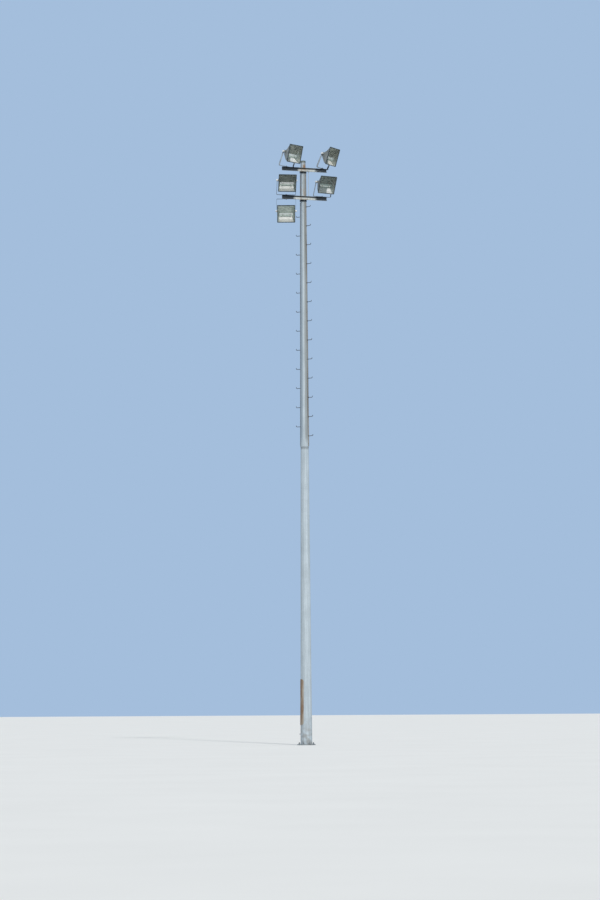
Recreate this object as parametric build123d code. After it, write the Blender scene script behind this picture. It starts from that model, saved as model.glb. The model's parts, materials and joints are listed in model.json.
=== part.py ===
from build123d import *
from math import atan2, cos, degrees, hypot, radians, sin
import os

os.makedirs("parts", exist_ok=True)

# Stadium floodlight pylon: a tapered mast of folded plate in two slip-jointed lengths on a bolted foot
# flange, two channel crossarms clamped to its front near the top, and five square floodlights in yokes.
# Millimetres. Z is up, X is to the right seen from the lit side, and that side lies towards -Y.
# The origin is the centre of the underside of the foot flange.

# Mast
mast_height = 18190.0          # top edge of the upper length, under the cap
mast_foot_width = 352.0        # across the flats at the foot
mast_taper = 0.0115            # loss of width for each millimetre of height
mast_sides = 16
lower_wall = 5.0
upper_wall = 4.0
joint_height = 9190.0          # lower edge of the upper length
joint_lap = 380.0              # how far the lower length reaches up inside the upper one
slip = 0.3                     # clearance of slip fits and of pieces that seat on each other

# Foot flange and its anchor holes
flange_dia = 560.0
flange_thickness = 30.0
anchor_circle = 470.0
anchor_hole = 33.0
anchor_count = 8
cable_entry = 220.0

# Cap on the mast top
cap_skirt = 45.0
cap_wall = 4.0
cap_bevel = 12.0

# Service door low on the mast
door_bottom = 641.0
door_height = 1350.0
door_width = 200.0
door_corner = 40.0
door_flat = 2                  # flats between the left-hand rail and the middle of the door
door_thickness = 4.0
door_gap = 2.0
door_ledge = 10.0              # inner edge of the frame that the door closes on
frame_rim = 24.0
frame_proud = 10.0

# Step rails and pegs
rail_width = 50.0
rail_depth = 20.0
rail_wall = 4.0
rail_side = -30.0              # direction of the right-hand rail; the left one is opposite
rail_lift = 30.0               # lower edge of the upper length to the rails' lower ends
rail_clear = 25.0              # space between a rail's end and a collar
peg_dia = 16.0                 # across the flats of an eight-sided bar
peg_sides = 8
peg_reach = 150.0
peg_bend = 18.0
peg_upturn = 45.0
peg_foot_dia = 34.0
peg_foot = 9.0
peg_pitch = 600.0              # between pegs on one rail; the other rail's pegs stand half way
first_peg = 316.0              # above the lower end of the right-hand rail

# Crossarms: channels, open towards the lit side
arm_length = 1466.0
arm_depth = 110.0
arm_flange = 58.0
arm_wall = 6.0
arm_turn = 18.0                # turn of the arms about the mast, left end towards the lit side
arm_standoff = 112.0           # mast axis to the back of the channel's web
arm_drop = 233.0               # mast's top edge to the top of the upper arm
arm_spacing = 896.0            # between the tops of the two arms

# Clamps that hold the arms, and the collars under them
clamp_height = 96.0
clamp_width = 210.0
clamp_strap = 12.0
clamp_split = 10.0
collar_height = 38.0
collar_rim = 24.0

# Feed conduit between the arms
conduit_dia = 16.0
conduit_place = 133.0
gland_dia = 30.0
gland_length = 24.0

# Yoke of a floodlight
yoke_bar = 50.0
yoke_thickness = 6.0
yoke_bend = 26.0               # outer radius of its two bends
yoke_half = 299.0              # pan axis to the middle of a leg
yoke_rise = 422.0              # underside of the base to the tilt axis
yoke_rake = 190.0              # how far the tilt axis stands in front of the pan axis
pan_stud = 16.0
pan_pad_dia = 60.0
pan_pad = 8.0
pan_nut_dia = 32.0
pan_nut = 14.0

# Floodlight: its face, frame and glass
face_size = 560.0
face_corner = 16.0
face_setback = 230.0           # tilt axis to the front plane
face_drop = 22.0               # centre of the face below the tilt axis
frame_depth = 24.0
frame_bar = 22.0
frame_lip = 4.0
glass_thickness = 5.0
glass_edge = 12.0              # how far the glass reaches under the frame

# Housing: a wedge that narrows to a low back wall with fins
shell_wall = 4.0
shell_edge = 6.0               # step from the frame's outside to the shell's
shell_corner = 24.0
waist_setback = 110.0          # tilt axis to the section where the sides turn in
waist_width = 528.0
waist_height = 368.0
waist_drop = 72.0
back_reach = 30.0              # tilt axis to the back wall
back_width = 445.0
back_height = 135.0
back_drop = 44.0
fin_count = 11
fin_depth = 26.0
fin_thickness = 5.0
boss_dia = 58.0
boss_foot_dia = 80.0           # across the flats of its eight-sided foot
boss_foot_sides = 8
boss_neck = 22.0               # length of the narrow end, next to the yoke's leg
tilt_stud = 16.0
knob_dia = 54.0
knob_sides = 10
knob_length = 26.0
inlet_dia = 26.0               # cable inlet under the housing
inlet_length = 30.0
inlet_place = 120.0
inlet_setback = 20.0

# Reflector: folded sheet, from the mouth over one fold to a narrow back, with the lamp across it
mirror_wall = 1.5
mouth_gap = 11.0               # mirror's mouth to the inside of the shell
fold_setback = 110.0
fold_width = 488.0
fold_height = 322.0
fold_drop = 73.0
mirror_back_setback = 45.0
mirror_back_width = 404.0
mirror_back_height = 108.0
mirror_back_drop = 97.0
tube_dia = 26.0
tube_length = 300.0
tube_stand = 38.0              # tube's middle in front of the mirror's back
post_width = 30.0

# Place of the floodlights' pan axes along the arms, from the mast's middle, and their aim in degrees
upper_place = 594.0
lower_left_place = 606.0
lower_right_place = 576.0
pan = {"upper_left": 43.9, "upper_right": 56.5, "lower_left": 6.8, "lower_right": 26.4, "hung_left": 0.0}
tilt = {"upper_left": 15.5, "upper_right": 18.7, "lower_left": 28.0, "lower_right": 24.9, "hung_left": 27.3}


hex_sides = 6
standing = (Align.CENTER, Align.CENTER, Align.MIN)
lying = (Align.CENTER, Align.MAX, Align.CENTER)


def keep(node, shape):
    export_step(shape, f"parts/{node}.step")


# The mast's radius to the middle of a flat. The upper length fits over the lower one.
half_taper = mast_taper / 2
lean = degrees(atan2(half_taper, 1.0))
flat_turn = 360 / mast_sides


def lower_radius(height):
    return mast_foot_width / 2 - half_taper * height


def upper_radius(height):
    return lower_radius(height) + upper_wall + slip


def plate_outline(radius):
    """The mast's section, with a flat towards each rail."""
    return RegularPolygon(radius, mast_sides, major_radius=False, rotation=rail_side + flat_turn / 2)


def mast_form(radius_at, bottom, top, grow=0.0):
    """A solid length of the mast's tapered form, larger by a clearance."""
    outline = Pos(0, 0, bottom) * plate_outline(radius_at(bottom) + grow)
    return extrude(outline, top - bottom, taper=lean)


def tube(radius_at, bottom, top, wall):
    return mast_form(radius_at, bottom, top) - mast_form(radius_at, bottom, top, -wall)


# Door opening, its frame and the cover: all folded like the mast's wall
left_side = rail_side + 180
door_side = left_side + door_flat * flat_turn


def door_prism(grow):
    """A rounded block through the mast's wall, as high and wide as the door plus a margin."""
    outline = RectangleRounded(door_width + 2 * grow, door_height + 2 * grow, door_corner + grow)
    block = extrude(Plane.YZ * outline, mast_foot_width)
    return Rot(0, 0, door_side) * Pos(0, 0, door_bottom + door_height / 2) * block


door_zone_bottom = door_bottom - 2 * frame_rim
door_zone_top = door_bottom + door_height + 2 * frame_rim
door_seat = frame_proud - door_thickness


def door_layer(inside, outside):
    """The surround of the mast at the door, between two heights above the mast's surface."""
    outer = mast_form(lower_radius, door_zone_bottom, door_zone_top, outside)
    return outer - mast_form(lower_radius, door_zone_bottom, door_zone_top, inside)


door_frame = door_layer(slip, frame_proud) & door_prism(frame_rim) - door_prism(-door_ledge)
door_frame -= door_layer(door_seat - slip, frame_proud + slip) & door_prism(0.0)

flange = Cylinder(flange_dia / 2, flange_thickness, align=standing)
flange -= Cylinder(cable_entry / 2, flange_thickness, align=standing)
for spot in PolarLocations(anchor_circle / 2, anchor_count, start_angle=180 / anchor_count):
    flange -= spot * Cylinder(anchor_hole / 2, flange_thickness, align=standing)
keep("foot_flange", flange)

lower_top = joint_height + joint_lap
lower = tube(lower_radius, flange_thickness, lower_top, lower_wall) - door_prism(0.0)
keep("mast_lower", lower)
keep("door_frame", door_frame)
keep("service_door", door_layer(door_seat, frame_proud) & door_prism(-door_gap))
keep("mast_upper", tube(upper_radius, joint_height, mast_height, upper_wall))

# Cap: a bevelled lid on a skirt that fits around the mast's top
skirt_bottom = mast_height - cap_skirt
cap_inside = upper_radius(skirt_bottom) + slip
cap_outline = plate_outline(cap_inside + cap_wall)
cap = Pos(0, 0, skirt_bottom) * extrude(cap_outline, cap_skirt + cap_wall)
cap -= Pos(0, 0, skirt_bottom) * extrude(plate_outline(cap_inside), cap_skirt)
cap += Pos(0, 0, mast_height + cap_wall) * extrude(cap_outline, cap_bevel, taper=45)
keep("mast_cap", cap)


# Rails: channels with their open side against the mast, in two lengths that stop at the collars.
# A rail's frame stands on the mast's surface: x points away from the mast, z runs up its slope.
def rail_frame(side):
    return Rot(0, 0, side) * Pos(upper_radius(joint_height), 0, joint_height) * Rot(0, -lean, 0)


upper_arm_top = mast_height - arm_drop
lower_arm_top = upper_arm_top - arm_spacing
collar_tops = [lower_arm_top - arm_depth, upper_arm_top - arm_depth]
rail_start = joint_height + rail_lift
rail_spans = [
    (rail_start, collar_tops[0] - collar_height - rail_clear),
    (lower_arm_top + rail_clear, collar_tops[1] - collar_height - rail_clear),
]


def rail(side):
    lengths = []
    for bottom, top in rail_spans:
        middle = (bottom + top) / 2 - joint_height
        outside = Pos(0, 0, middle) * Box(2 * rail_depth, rail_width, top - bottom)
        inside = Pos(-rail_wall, 0, middle) * Box(2 * rail_depth, rail_width - 2 * rail_wall, top - bottom)
        channel = rail_frame(side) * (outside - inside)
        lengths.append(channel - mast_form(upper_radius, bottom - rail_width, top + rail_width, slip))
    return lengths


def peg(height):
    """A bar with an upturned tip and a foot nut against the rail's web, in the rail's frame."""
    run = rail_depth + peg_reach
    path = Polyline((rail_depth, 0, 0), (run - peg_bend, 0, 0), (run, 0, peg_bend), (run, 0, peg_upturn))
    outline = RegularPolygon(peg_dia / 2, peg_sides, major_radius=False, rotation=180 / peg_sides)
    bar = sweep(Plane.YZ.offset(rail_depth) * outline, path, transition=Transition.RIGHT)
    foot = Plane.YZ.offset(rail_depth) * extrude(RegularPolygon(peg_foot_dia / 2, hex_sides), peg_foot)
    return Pos(0, 0, height - joint_height) * (bar + foot)


last_peg = collar_tops[0] - collar_height - rail_clear - peg_upturn


def peg_row(side, first):
    count = int((last_peg - first) // peg_pitch) + 1
    return [rail_frame(side) * peg(first + number * peg_pitch) for number in range(count)]


def together(solids):
    return Compound(children=[solid for part in solids for solid in part.solids()])


keep("step_rail_right", together(rail(rail_side)))
keep("step_rail_left", together(rail(left_side)))
keep("step_pegs_right", together(peg_row(rail_side, rail_start + first_peg)))
keep("step_pegs_left", together(peg_row(left_side, rail_start + first_peg + peg_pitch / 2)))

# Crossarms, with a pad, a stud and a nut at each floodlight's pan axis
arm_frame = Rot(0, 0, arm_turn)
stud_line = -(arm_standoff + arm_flange / 2)
from_web = (Align.CENTER, Align.MAX, Align.MAX)


def pan_pivot(place, level, up):
    """Pad, stud and nut that a yoke's base turns on; up is 1 above an arm and -1 below it."""
    stack = pan_pad + 2 * slip + yoke_thickness
    pad = Cylinder(pan_pad_dia / 2, pan_pad, align=standing)
    stud = Cylinder(pan_stud / 2, stack + pan_nut, align=standing)
    nut = Pos(0, 0, stack) * extrude(RegularPolygon(pan_nut_dia / 2, hex_sides), pan_nut)
    pivot = pad + stud + nut
    return Pos(place, stud_line, level) * (pivot if up > 0 else Rot(180, 0, 0) * pivot)


def crossarm(top, pivots):
    channel = Box(arm_length, arm_flange, arm_depth, align=from_web)
    hollow = Box(arm_length, arm_flange, arm_depth - 2 * arm_wall, align=from_web)
    arm = Pos(0, -arm_standoff, top) * (channel - Pos(0, -arm_wall, -arm_wall) * hollow)
    for place, level, up in pivots:
        arm += pan_pivot(place, level, up)
    return arm_frame * arm


hung_level = lower_arm_top - arm_depth
keep("crossarm_upper", crossarm(upper_arm_top, [
    (-upper_place, upper_arm_top, 1),
    (upper_place, upper_arm_top, 1),
]))
keep("crossarm_lower", crossarm(lower_arm_top, [
    (-lower_left_place, lower_arm_top, 1),
    (-lower_left_place, hung_level, -1),
    (lower_right_place, lower_arm_top, 1),
]))


# Clamps: a saddle block between the mast and the channel's web, and a strap behind the mast
def clamp(arm_top):
    bottom = arm_top - (arm_depth + clamp_height) / 2
    top = bottom + clamp_height
    bore = mast_form(upper_radius, bottom - clamp_height, top + clamp_height, slip)
    block = Box(clamp_width, arm_standoff - clamp_split / 2, clamp_height, align=lying)
    saddle = Pos(0, -clamp_split / 2, bottom + clamp_height / 2) * block
    behind = Box(clamp_width, clamp_width, clamp_height, align=(Align.CENTER, Align.MIN, Align.MIN))
    behind = arm_frame * Pos(0, clamp_split / 2, bottom) * behind
    strap = mast_form(upper_radius, bottom, top, clamp_strap) & behind
    ears = Box(clamp_width, clamp_strap, clamp_height, align=(Align.CENTER, Align.MIN, Align.MIN))
    strap += arm_frame * Pos(0, clamp_split / 2, bottom) * ears
    return [arm_frame * saddle - bore, strap - bore]


def collar(top):
    bottom = top - collar_height
    ring = mast_form(upper_radius, bottom, top, collar_rim)
    return ring - mast_form(upper_radius, bottom, top, slip)


keep("arm_clamps", together(clamp(upper_arm_top) + clamp(lower_arm_top)))
keep("support_collars", together([collar(top) for top in collar_tops]))

# Feed conduit, upright between the arms, with a gland at each end
conduit_length = upper_arm_top - arm_depth - lower_arm_top
conduit = Cylinder(conduit_dia / 2, conduit_length, align=standing)
gland = Cylinder(gland_dia / 2, gland_length, align=standing)
conduit = conduit + gland + Pos(0, 0, conduit_length - gland_length) * gland
keep("feed_conduit", arm_frame * Pos(conduit_place, stud_line, lower_arm_top) * conduit)


# Yoke: a flat bar bent up at both ends and continued by raked legs. Its frame's origin is on the pan
# axis, on the face that the pad stands on.
base_under = pan_pad + slip
tilt_height = base_under + yoke_rise
heel = yoke_bend + yoke_bar / 2


def yoke():
    outer = RectangleRounded(2 * yoke_half + yoke_thickness, 2 * heel, yoke_bend)
    inner = RectangleRounded(
        2 * yoke_half - yoke_thickness, 2 * (heel - yoke_thickness), yoke_bend - yoke_thickness
    )
    lower_half = Pos(0, -heel / 2) * Rectangle(2 * yoke_half + yoke_thickness, heel)
    heel_height = base_under + heel
    bent = extrude(Plane.XZ * ((outer - inner) & lower_half), yoke_bar / 2, both=True)
    bent = Pos(0, 0, heel_height) * bent

    rise = tilt_height - heel_height
    rake = atan2(rise, yoke_rake)
    leg_plane = Plane(
        origin=(0, -yoke_rake / 2, heel_height + rise / 2),
        x_dir=(0, -cos(rake), sin(rake)),
        z_dir=(1, 0, 0),
    )
    leg = extrude(SlotCenterToCenter(hypot(rise, yoke_rake), yoke_bar), yoke_thickness / 2, both=True)
    leg = leg_plane * leg
    for side in (-yoke_half, yoke_half):
        bent += Pos(side, 0, 0) * leg
    bent -= Pos(0, 0, base_under) * Cylinder(pan_stud / 2 + slip, yoke_thickness, align=standing)
    stud_hole = Rot(0, 90, 0) * Cylinder(tilt_stud / 2 + slip, 2 * yoke_half + 2 * yoke_thickness)
    return bent - Pos(0, -yoke_rake, tilt_height) * stud_hole


# Floodlight pieces. Their frame's origin is on the tilt axis and the glass faces -Y.
def section(setback, width, height, drop, cut=0.0):
    """Corners of a rectangle across the floodlight, at a distance in front of the tilt axis."""
    right = width / 2
    top = height / 2
    half = [(right, top - cut), (right - cut, top), (cut - right, top), (-right, top - cut)]
    if cut == 0:
        half = [(right, top), (-right, top)]
    outline = half + [(-x, -z) for x, z in half]
    return [Vector(x, -setback, z - drop) for x, z in outline]


def panel(corners):
    return Face(Wire.make_polygon(corners))


def folded_form(*sections):
    """A solid with flat panels from each section to the next, as bent sheet has."""
    panels = [panel(sections[0]), panel(sections[-1])]
    for front, rear in zip(sections, sections[1:]):
        for number in range(len(front)):
            panels.append(panel([front[number - 1], front[number], rear[number], rear[number - 1]]))
    return Solid(Shell(panels))


rim_setback = face_setback - frame_depth
rim_size = face_size - 2 * shell_edge


def shell_form(inset, back):
    """The housing's tapered form, smaller by an inset on its sides and ending at a back plane."""
    cut = shell_corner - inset / 2
    return folded_form(
        section(rim_setback, rim_size - 2 * inset, rim_size - 2 * inset, face_drop, cut),
        section(waist_setback, waist_width - 2 * inset, waist_height - 2 * inset, waist_drop, cut),
        section(back, back_width - 2 * inset, back_height - 2 * inset, back_drop, cut),
    )


def shell_underside(setback):
    """How far the housing reaches below the tilt axis, between its waist and its back."""
    share = (waist_setback - setback) / (waist_setback + back_reach)
    drop = waist_drop + share * (back_drop - waist_drop)
    return drop + (waist_height + share * (back_height - waist_height)) / 2


def sideways(start, outline, length):
    """A bar along the tilt axis, from a distance right of the middle."""
    return extrude(Plane.YZ.offset(start) * outline, length)


boss_end = yoke_half - yoke_thickness / 2 - slip
knob_start = yoke_half + yoke_thickness / 2 + slip


def housing():
    neck_start = boss_end - boss_neck
    boss = sideways(0.0, RegularPolygon(boss_foot_dia / 2, boss_foot_sides, major_radius=False), neck_start)
    boss += sideways(neck_start, Circle(boss_dia / 2), boss_neck)
    inlet_end = shell_underside(inlet_setback) + inlet_length
    inlet = extrude(RegularPolygon(inlet_dia / 2, hex_sides), inlet_end - back_drop)
    body = shell_form(0.0, -back_reach) + Pos(inlet_place, -inlet_setback, -inlet_end) * inlet
    for hand in (0, 180):
        body += Rot(0, 0, hand) * boss
    body -= shell_form(shell_wall, shell_wall - back_reach)
    pivot = sideways(boss_end, Circle(tilt_stud / 2), knob_start - boss_end)
    pivot += sideways(knob_start, RegularPolygon(knob_dia / 2, knob_sides), knob_length)
    for hand in (0, 180):
        body += Rot(0, 0, hand) * pivot

    fin_height = back_height - 2 * shell_corner
    fin_pitch = (back_width - 2 * shell_corner - fin_thickness) / (fin_count - 1)
    fin = Box(fin_thickness, fin_depth, fin_height, align=(Align.CENTER, Align.MIN, Align.CENTER))
    for number in range(fin_count):
        across = (number - (fin_count - 1) / 2) * fin_pitch
        body += Pos(across, back_reach, -back_drop) * fin
    return body


glass_size = face_size - 2 * frame_bar + 2 * glass_edge
glass_front = face_setback - frame_lip


def front_frame():
    outline = Pos(0, -face_drop) * RectangleRounded(face_size, face_size, face_corner)
    outside = extrude(Plane.XZ.offset(rim_setback) * outline, frame_depth)
    clear_size = face_size - 2 * frame_bar
    through = extrude(panel(section(rim_setback, clear_size, clear_size, face_drop)), frame_depth)
    seat_size = glass_size + 2 * slip
    seat = extrude(panel(section(rim_setback, seat_size, seat_size, face_drop)), frame_depth - frame_lip)
    return outside - through - seat


def glass():
    pane = section(glass_front - glass_thickness, glass_size, glass_size, face_drop)
    return extrude(panel(pane), glass_thickness)


def mirror_form(inset, back):
    mouth_size = rim_size - 2 * (shell_wall + mouth_gap + inset)
    return folded_form(
        section(rim_setback + mirror_wall, mouth_size, mouth_size, face_drop),
        section(fold_setback, fold_width - 2 * inset, fold_height - 2 * inset, fold_drop),
        section(back, mirror_back_width - 2 * inset, mirror_back_height - 2 * inset, mirror_back_drop),
    )


def reflector():
    """Four sides of two folds each between the mouth and the back, with a lip on the housing's rim."""
    lip_size = glass_size - 2 * slip
    lip = extrude(panel(section(rim_setback, lip_size, lip_size, face_drop)), mirror_wall)
    bowl = lip + mirror_form(0.0, mirror_back_setback)
    return bowl - mirror_form(mirror_wall, mirror_back_setback + mirror_wall)


def lamp_tube():
    """The discharge tube between two ceramic posts that stand on the reflector's back."""
    tube = Rot(0, 90, 0) * Cylinder(tube_dia / 2, tube_length)
    post = Box(post_width, tube_stand + tube_dia / 2, tube_dia, align=lying)
    post = Pos(0, tube_stand - mirror_wall, 0) * post
    for hand in (-1, 1):
        tube += Pos(hand * tube_length / 2, 0, 0) * post
    return Pos(0, -mirror_back_setback - tube_stand, -mirror_back_drop) * tube


def floodlight(name, place, level, up):
    """Puts one floodlight on the arm at its place and turns it to its aim."""
    stand = Pos(0, 0, level) * arm_frame * Pos(place, stud_line, 0) * Rot(0, 0, pan[name] - arm_turn)
    carried = yoke() if up > 0 else Rot(0, 180, 0) * yoke()
    head = stand * Pos(0, -yoke_rake, up * tilt_height) * Rot(tilt[name], 0, 0)
    keep(f"{name}_yoke", stand * carried)
    keep(f"{name}_housing", head * housing())
    keep(f"{name}_front_frame", head * front_frame())
    keep(f"{name}_glass", head * glass())
    keep(f"{name}_reflector", head * reflector())
    keep(f"{name}_lamp_tube", head * lamp_tube())


floodlight("upper_left", -upper_place, upper_arm_top, 1)
floodlight("upper_right", upper_place, upper_arm_top, 1)
floodlight("lower_left", -lower_left_place, lower_arm_top, 1)
floodlight("lower_right", lower_right_place, lower_arm_top, 1)
floodlight("hung_left", -lower_left_place, hung_level, -1)
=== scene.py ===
import json
from math import atan, atan2, cos, pi, radians, sin, sqrt, tau

import bmesh
import bpy
from mathutils import Matrix, Vector


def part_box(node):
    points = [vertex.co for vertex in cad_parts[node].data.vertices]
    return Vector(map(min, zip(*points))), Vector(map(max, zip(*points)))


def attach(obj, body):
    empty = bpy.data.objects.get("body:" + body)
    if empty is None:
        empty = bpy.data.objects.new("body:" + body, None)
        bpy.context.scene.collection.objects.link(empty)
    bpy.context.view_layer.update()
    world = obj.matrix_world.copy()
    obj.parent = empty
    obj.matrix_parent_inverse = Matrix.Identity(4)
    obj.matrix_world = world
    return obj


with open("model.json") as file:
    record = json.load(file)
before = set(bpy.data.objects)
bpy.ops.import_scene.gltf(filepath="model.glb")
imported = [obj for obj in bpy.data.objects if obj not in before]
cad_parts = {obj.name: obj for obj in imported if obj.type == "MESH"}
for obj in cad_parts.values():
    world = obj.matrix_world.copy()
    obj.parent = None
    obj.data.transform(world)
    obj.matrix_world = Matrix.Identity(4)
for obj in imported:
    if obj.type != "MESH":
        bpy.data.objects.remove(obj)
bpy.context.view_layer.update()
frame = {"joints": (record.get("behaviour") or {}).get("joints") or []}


# Foot flange: a thick galvanised plate, drilled for eight anchor bolts and welded to the mast all
# round. Each anchor's threaded end stands up through the plate, with a washer and a nut on it.
class Wire:
    """One output of a node, with arithmetic that adds Math nodes."""

    def __init__(self, tree, socket):
        self.tree = tree
        self.socket = socket

    def worked(self, operation, first, second=0.0):
        return self.tree.node("ShaderNodeMath", {"operation": operation}, {0: first, 1: second})

    def __add__(self, other):
        return self.worked("ADD", self, other)

    def __sub__(self, other):
        return self.worked("SUBTRACT", self, other)

    def __rsub__(self, other):
        return self.worked("SUBTRACT", other, self)

    def __mul__(self, other):
        return self.worked("MULTIPLY", self, other)

    def __truediv__(self, other):
        return self.worked("DIVIDE", self, other)

    def __abs__(self):
        return self.worked("ABSOLUTE", self)

    __radd__ = __add__
    __rmul__ = __mul__


class Tree:
    """The nodes of one finish, or of the studio's surround."""

    def __init__(self, tree):
        self.tree = tree

    def feed(self, socket, value):
        if isinstance(value, Wire):
            self.tree.links.new(value.socket, socket)
        elif socket.type == "RGBA" and len(value) < len(socket.default_value):
            socket.default_value = (*value, 1.0)
        else:
            socket.default_value = value

    def node(self, kind, settings, sockets, output=0):
        """Adds a node: its settings first, then the values or links of its sockets."""
        made = self.tree.nodes.new(kind)
        for name, setting in settings.items():
            setattr(made, name, setting)
        for name, value in sockets.items():
            self.feed(made.inputs[name], value)
        return Wire(self, made.outputs[output])


class Finish(Tree):
    """A painted, plated or cast surface: one material and the nodes that vary it."""

    def __init__(self, name, metallic=0.0, roughness=0.5):
        self.material = bpy.data.materials.new(name)
        self.material.use_nodes = True
        super().__init__(self.material.node_tree)
        self.shader = self.tree.nodes["Principled BSDF"]
        self.shader.inputs["Metallic"].default_value = metallic
        self.shader.inputs["Roughness"].default_value = roughness
        self.spot = self.node("ShaderNodeTexCoord", {}, {}, "Object")

    def mottle(self, scale, detail=3.0, stretch=(1.0, 1.0, 1.0)):
        """Noise between 0 and 1, in features per metre, drawn out where the stretch is small."""
        place = self.node("ShaderNodeMapping", {}, {"Vector": self.spot, "Scale": stretch})
        sockets = {"Vector": place, "Scale": scale, "Detail": detail}
        return self.node("ShaderNodeTexNoise", {}, sockets)

    def crystals(self, scale):
        """Patches of one grey each, like the crystals of zinc."""
        sockets = {"Vector": self.spot, "Scale": scale}
        cells = self.node("ShaderNodeTexVoronoi", {}, sockets, "Color")
        return self.node("ShaderNodeSeparateColor", {}, {0: cells})

    def between(self, operation, first, second, output=0):
        """Vector Math on two places."""
        places = {0: first, 1: second}
        return self.node("ShaderNodeVectorMath", {"operation": operation}, places, output)

    def along(self, axis, start=(0.0, 0.0, 0.0)):
        """Distance in metres from a start, measured along an axis."""
        offset = self.between("SUBTRACT", self.spot, start)
        return self.between("DOT_PRODUCT", offset, axis, "Value")

    def near(self, place, inner, outer):
        """1 within the inner distance of a place, 0 beyond the outer one, in metres."""
        return 1.0 - self.ease(self.between("DISTANCE", self.spot, place, "Value"), inner, outer)

    def ease(self, value, low, high):
        """0 below low, 1 above high, and a smooth rise between them."""
        bounds = {"Value": value, "From Min": low, "From Max": high}
        return self.node("ShaderNodeMapRange", {"interpolation_type": "SMOOTHSTEP"}, bounds)

    def mix(self, share, first, second):
        """The first colour where the share is 0, the second where it is 1."""
        colours = {0: share, 6: first, 7: second}
        return self.node("ShaderNodeMix", {"data_type": "RGBA"}, colours, 2)

    def relief(self, height, depth):
        """Small relief of a depth in metres."""
        self.feed(self.shader.inputs["Normal"], self.node(
            "ShaderNodeBump", {}, {"Height": height, "Distance": depth, "Strength": 1.0}, "Normal"
        ))

    def colour(self, value):
        self.feed(self.shader.inputs["Base Color"], value)

    def rough(self, value):
        self.feed(self.shader.inputs["Roughness"], value)

    def onto(self, *names):
        for name in names:
            piece = bpy.data.objects[name]
            piece.data.materials.clear()
            piece.data.materials.append(self.material)


def tone(red, green, blue):
    """A colour as it looks, from 0 to 255, as linear light."""
    return tuple(
        part / 255 / 12.92 if part < 10.3 else ((part / 255 + 0.055) / 1.055) ** 2.4
        for part in (red, green, blue)
    )


def zinc_plate(name, fresh, dull, metallic=0.25):
    """Weathered galvanising: crystals, cloudy patches and streaks that run down."""
    zinc = Finish(name, metallic, 0.55)
    crystal = zinc.crystals(70.0)
    cloud = zinc.mottle(3.0, 5.0)
    streak = zinc.mottle(26.0, 4.0, (1.0, 1.0, 0.05))
    zinc.dullness = zinc.ease(cloud * 0.45 + streak * 0.4 + crystal * 0.15, 0.32, 0.68)
    zinc.shade = zinc.mix(zinc.dullness, fresh, dull)
    zinc.colour(zinc.shade)
    zinc.rough(0.42 + crystal * 0.12 + cloud * 0.16)
    zinc.relief(crystal * 0.3 + zinc.mottle(160.0, 4.0), 0.0004)
    return zinc


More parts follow.
